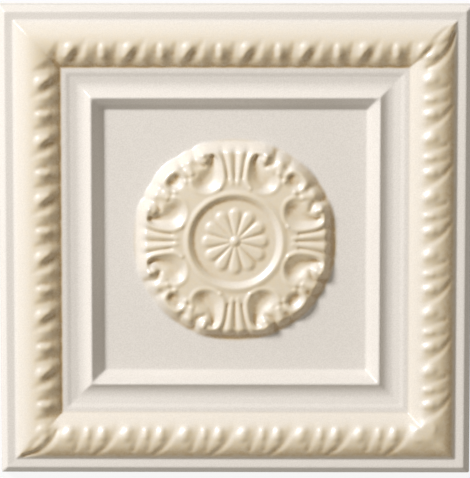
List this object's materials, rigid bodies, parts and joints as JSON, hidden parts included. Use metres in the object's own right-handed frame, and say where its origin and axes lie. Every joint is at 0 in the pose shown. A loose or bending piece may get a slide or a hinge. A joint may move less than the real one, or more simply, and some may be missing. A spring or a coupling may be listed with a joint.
{
  "type": "decorative insert tile",
  "caption": "Square glazed relief insert tile with a leaf-carved roll frame, a raised lip, a sunken field and a round scrolled rosette.",
  "frame": {"origin": "centre of the flat back face", "axes": "+Z out of the decorated face, +Y towards the tile's top edge, +X towards its right edge as seen from the face"},
  "size_m": [0.2, 0.2, 0.0161],
  "materials": {
    "glazed_clay": "glossy antiqued cream glaze"
  },
  "bodies": {
    "root": {"insert_tile": "glazed_clay"}
  },
  "joints": []
}
